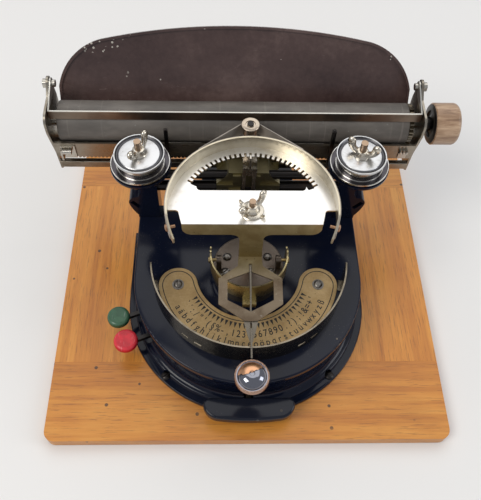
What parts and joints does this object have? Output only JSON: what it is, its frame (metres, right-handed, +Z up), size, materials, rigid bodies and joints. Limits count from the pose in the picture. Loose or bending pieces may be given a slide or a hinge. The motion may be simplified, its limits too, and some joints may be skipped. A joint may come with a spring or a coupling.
{
  "type": "index typewriter",
  "caption": "Index typewriter on a wooden board: a swinging type sector with a selector knob, a half-round index, ribbon spools and a sliding carriage with platen and paper table.",
  "frame": {"origin": "on the swing axis of the type sector, at the underside of the board", "axes": "+X to the typist's right, +Y away from the typist, +Z up"},
  "size_m": [0.2711, 0.261, 0.1538],
  "materials": {
    "board_wood": "varnished",
    "black_enamel": "glossy black enamel",
    "index_brass": "satin, engraved",
    "worn_nickel": "worn nickel plate",
    "nickel": "nickel plate",
    "steel": "polished steel",
    "dark_steel": "blackened",
    "chrome": "polished nickel",
    "bar_black": "glossy black",
    "brass": "polished",
    "band_rubber": "moulded",
    "platen_rubber": "matte",
    "knob_wood": "turned, waxed",
    "table_enamel": "worn enamel",
    "green_key": "glossy",
    "red_key": "glossy"
  },
  "bodies": {
    "base": {"board_panel": "board_wood", "board_cleats": "board_wood", "base_casting": "black_enamel", "base_deck": "black_enamel", "base_pedestal": "black_enamel", "base_screws": "steel", "index_plate": "index_brass", "index_screws": "steel", "guide_rail": "worn_nickel", "hub_disc": "nickel", "hub_disc_screws": "steel", "print_arm_pin": "steel", "left_standard": "black_enamel", "right_standard": "black_enamel", "ribbon_guides": "brass", "cross_rods": "dark_steel", "front_saddle": "brass", "rear_saddle": "black_enamel", "spool_posts": "steel", "spool_wing_nuts": "steel"},
    "sector": {"sector_frame": "nickel", "type_ring": "nickel", "type_band": "band_rubber", "band_rivets": "brass", "hub_post": "steel", "hub_wing_nut": "steel"},
    "knob": {"knob_lever": "steel", "selector_knob": "chrome", "pointer": "nickel"},
    "yoke": {"yoke": "nickel", "yoke_pins": "brass"},
    "print_arm": {"print_arm": "steel", "type_band_loop": "band_rubber"},
    "roller": {"print_roller": "steel"},
    "left_spool": {"left_spool": "chrome", "left_spool_cover": "chrome"},
    "right_spool": {"right_spool": "chrome", "right_spool_cover": "chrome"},
    "carriage": {"left_end_plate": "nickel", "right_end_plate": "nickel", "front_rail": "steel", "rear_rail": "steel", "paper_pan": "nickel", "spacing_rack": "steel", "carriage_clips": "steel", "bail_studs": "steel", "paper_table": "table_enamel"},
    "platen": {"platen_rubber": "platen_rubber", "platen_core": "steel", "platen_ratchet": "worn_nickel", "platen_knob": "knob_wood", "knob_plate": "dark_steel"},
    "feed_roll": {"feed_roll": "platen_rubber"},
    "bail": {"paper_bail": "worn_nickel"},
    "space_bar": {"space_bar": "bar_black", "space_bar_arm": "dark_steel"},
    "green_key": {"green_key": "green_key", "green_key_lever": "dark_steel"},
    "red_key": {"red_key": "red_key", "red_key_lever": "dark_steel"}
  },
  "joints": [
    {"name": "sector_swing", "type": "hinge", "parent": "base", "child": "sector", "pos_m": [0, 0, 0.1], "axis": [0, 0, 1], "range_deg": [-59.5, 63.7]},
    {"name": "knob_press", "type": "hinge", "parent": "sector", "child": "knob", "pos_m": [0, -0.01221, 0.07949], "axis": [1, 0, 0], "range_deg": [0, 3], "stiffness_Nm_per_rad": 0.15, "springref_deg": -17.19},
    {"name": "yoke_press", "type": "hinge", "parent": "base", "child": "yoke", "pos_m": [0, 0, 0.064], "axis": [1, 0, 0], "range_deg": [0, 1.6]},
    {"name": "print_stroke", "type": "hinge", "parent": "base", "child": "print_arm", "pos_m": [0, 0.047, 0.06], "axis": [-1, 0, 0], "range_deg": [0, 2.6]},
    {"name": "roller_spin", "type": "hinge", "parent": "print_arm", "child": "roller", "pos_m": [0, 0.059, 0.12], "axis": [0, 0, 1], "continuous": true},
    {"name": "left_spool_turn", "type": "hinge", "parent": "base", "child": "left_spool", "pos_m": [-0.0685, 0.04, 0.115], "axis": [0, 0, 1], "continuous": true},
    {"name": "right_spool_turn", "type": "hinge", "parent": "base", "child": "right_spool", "pos_m": [0.0685, 0.04, 0.115], "axis": [0, 0, 1], "continuous": true},
    {"name": "carriage_travel", "type": "slide", "parent": "base", "child": "carriage", "axis": [1, 0, 0], "range_m": [-0.087, 0.104]},
    {"name": "platen_turn", "type": "hinge", "parent": "carriage", "child": "platen", "pos_m": [0, 0.0785, 0.1107], "axis": [1, 0, 0], "continuous": true},
    {"name": "feed_roll_turn", "type": "hinge", "parent": "carriage", "child": "feed_roll", "pos_m": [0, 0.0785, 0.0931], "axis": [1, 0, 0], "continuous": true},
    {"name": "bail_lift", "type": "hinge", "parent": "carriage", "child": "bail", "pos_m": [0, 0.0895, 0.133], "axis": [-1, 0, 0], "range_deg": [0, 100]},
    {"name": "space_bar_press", "type": "hinge", "parent": "base", "child": "space_bar", "pos_m": [0, -0.03, 0.025], "axis": [1, 0, 0], "range_deg": [0, 3], "stiffness_Nm_per_rad": 0.2, "springref_deg": -17.19},
    {"name": "green_key_press", "type": "hinge", "parent": "base", "child": "green_key", "pos_m": [-0.04009, -0.00452, 0.0235], "axis": [0.3746, -0.9272, 0], "range_deg": [0, 3], "stiffness_Nm_per_rad": 0.06, "springref_deg": -17.19},
    {"name": "red_key_press", "type": "hinge", "parent": "base", "child": "red_key", "pos_m": [-0.03359, -0.02202, 0.0235], "axis": [0.3746, -0.9272, 0], "range_deg": [0, 3], "stiffness_Nm_per_rad": 0.06, "springref_deg": -17.19}
  ],
  "couplings": [
    {"joint": "yoke_press", "follows": "knob_press", "ratio": 0.5},
    {"joint": "print_stroke", "follows": "knob_press", "ratio": 0.83},
    {"joint": "feed_roll_turn", "follows": "platen_turn", "ratio": -3.35}
  ]
}
